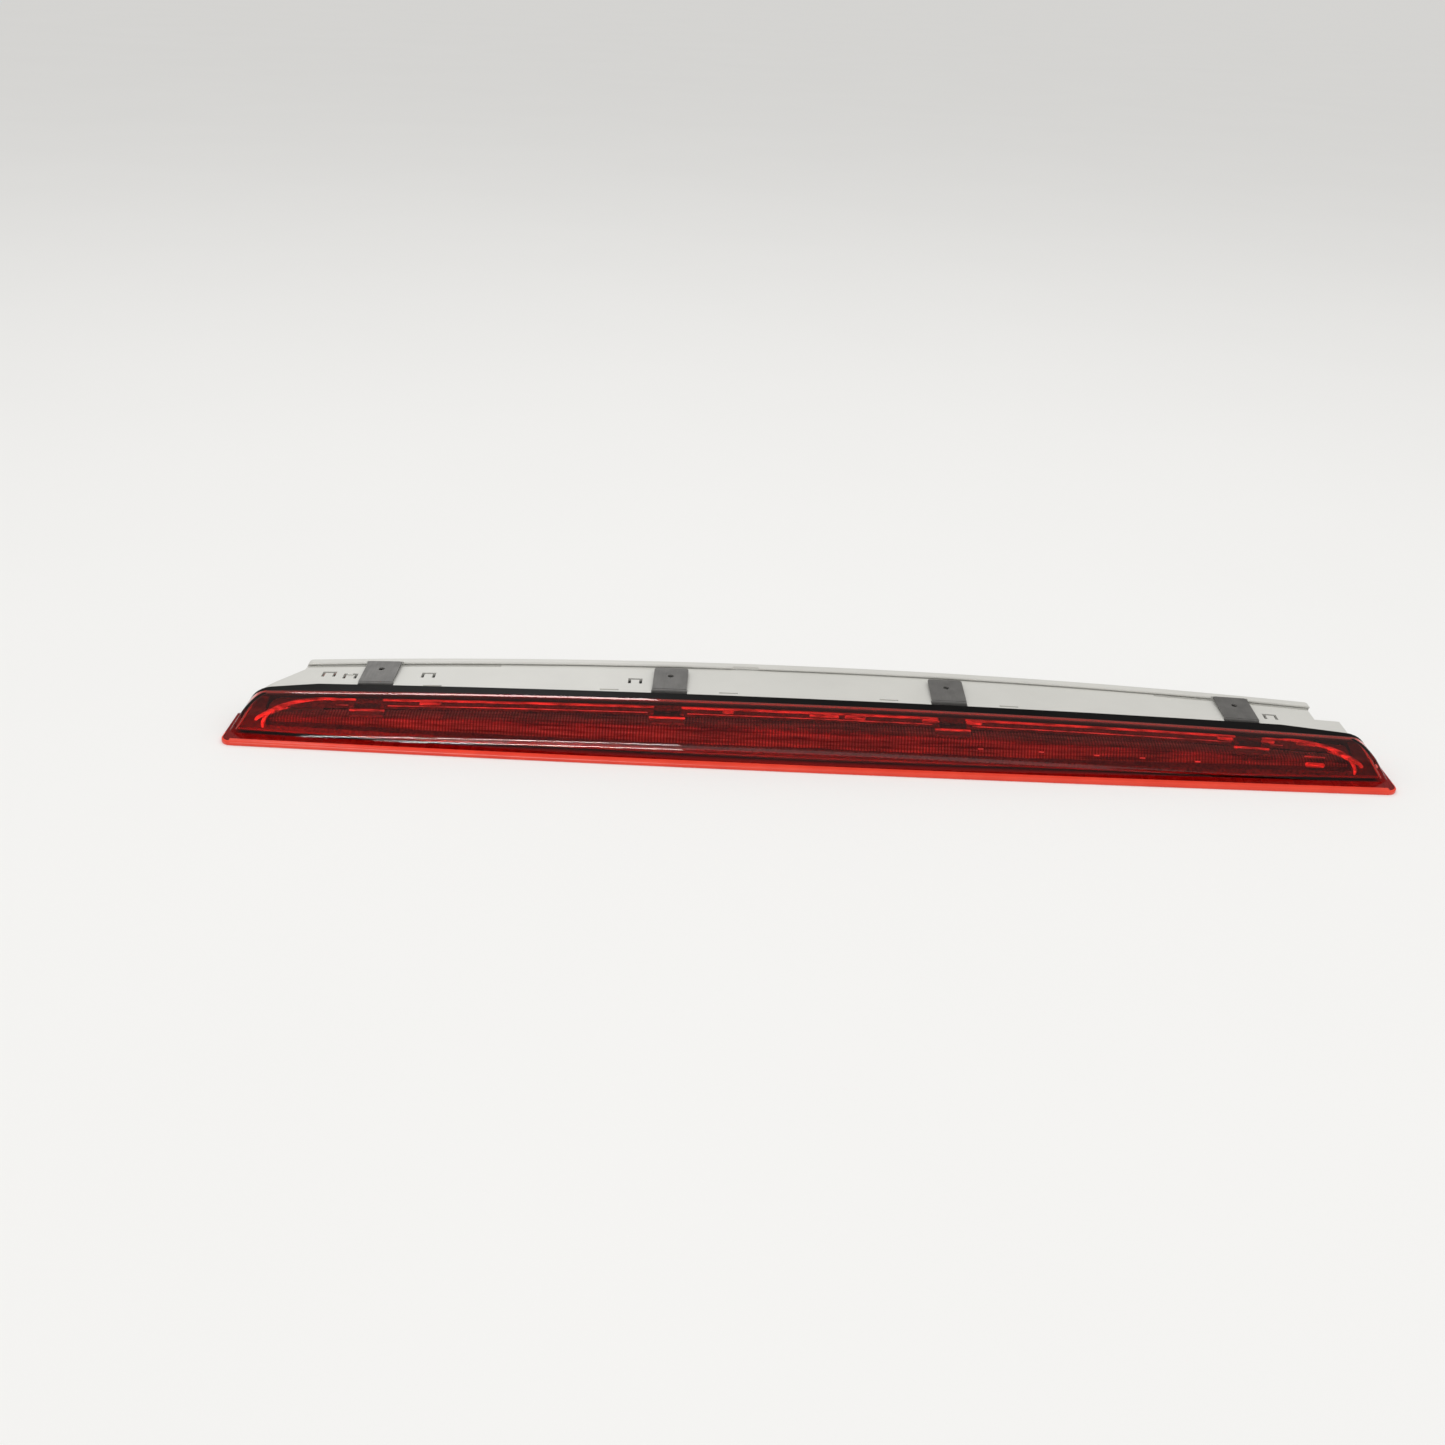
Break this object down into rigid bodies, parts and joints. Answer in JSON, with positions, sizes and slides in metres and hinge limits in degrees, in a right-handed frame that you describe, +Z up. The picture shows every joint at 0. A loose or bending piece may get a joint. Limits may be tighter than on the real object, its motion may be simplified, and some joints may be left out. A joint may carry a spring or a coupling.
{
  "type": "third brake light",
  "caption": "Long slim red-lensed high-mount brake light with a light grey clip-in housing, spring clips along its deck and an end connector socket.",
  "frame": {"origin": "middle of the underside of the bounding box", "axes": "+X along the lamp towards the connector end, +Y from the lens to the back of the housing, +Z up"},
  "size_m": [0.609, 0.0754, 0.0247],
  "materials": {
    "lens_red": "transparent red acrylic, polished outside",
    "bezel_black": "glossy black moulding",
    "housing_grey": "fine-grained light grey moulding",
    "surround_grey": "light grey moulding",
    "optic_clear": "clear moulding with fine flutes",
    "reflector_silver": "metallised moulding",
    "board_green": "solder-masked glass-epoxy board",
    "led_yellow": "white package with a clear dome",
    "component_black": "moulded component body",
    "can_aluminium": "drawn can",
    "spring_steel": "dark phosphated spring steel",
    "screw_steel": "zinc plated",
    "pin_brass": "tinned brass",
    "connector_black": "black glass-filled nylon",
    "rubber_black": "soft black rubber"
  },
  "bodies": {
    "lamp": {"outer_lens": "lens_red", "bezel_frame": "bezel_black", "lens_gasket": "rubber_black", "optic_surround": "surround_grey", "optic_plate": "optic_clear", "reflector": "reflector_silver", "circuit_board": "board_green", "leds": "led_yellow", "resistors": "component_black", "diode": "component_black", "capacitor": "can_aluminium", "board_screws": "screw_steel", "connector_pins": "pin_brass", "connector_shroud": "connector_black", "connector_seal": "rubber_black", "housing": "housing_grey", "rear_cover": "housing_grey", "vent_plug": "rubber_black", "clip_anchor_1": "spring_steel", "clip_anchor_2": "spring_steel", "clip_anchor_3": "spring_steel", "clip_anchor_4": "spring_steel"},
    "clip_1": {"clip_leaf_1": "spring_steel"},
    "clip_2": {"clip_leaf_2": "spring_steel"},
    "clip_3": {"clip_leaf_3": "spring_steel"},
    "clip_4": {"clip_leaf_4": "spring_steel"}
  },
  "joints": [
    {"name": "clip_1_flex", "type": "hinge", "parent": "lamp", "child": "clip_1", "pos_m": [-0.23168, 0.00595, 0.01925], "axis": [-0.9992, 0.0147, -0.0375], "range_deg": [0, 2.2], "stiffness_Nm_per_rad": 10},
    {"name": "clip_2_flex", "type": "hinge", "parent": "lamp", "child": "clip_2", "pos_m": [-0.07456, 0.00443, 0.02315], "axis": [-0.9999, 0.0047, -0.0121], "range_deg": [0, 2.2], "stiffness_Nm_per_rad": 10},
    {"name": "clip_3_flex", "type": "hinge", "parent": "lamp", "child": "clip_3", "pos_m": [0.07456, 0.00443, 0.02315], "axis": [-0.9999, -0.0047, 0.0121], "range_deg": [0, 2.2], "stiffness_Nm_per_rad": 10},
    {"name": "clip_4_flex", "type": "hinge", "parent": "lamp", "child": "clip_4", "pos_m": [0.23168, 0.00595, 0.01925], "axis": [-0.9992, -0.0147, 0.0375], "range_deg": [0, 2.2], "stiffness_Nm_per_rad": 10}
  ]
}
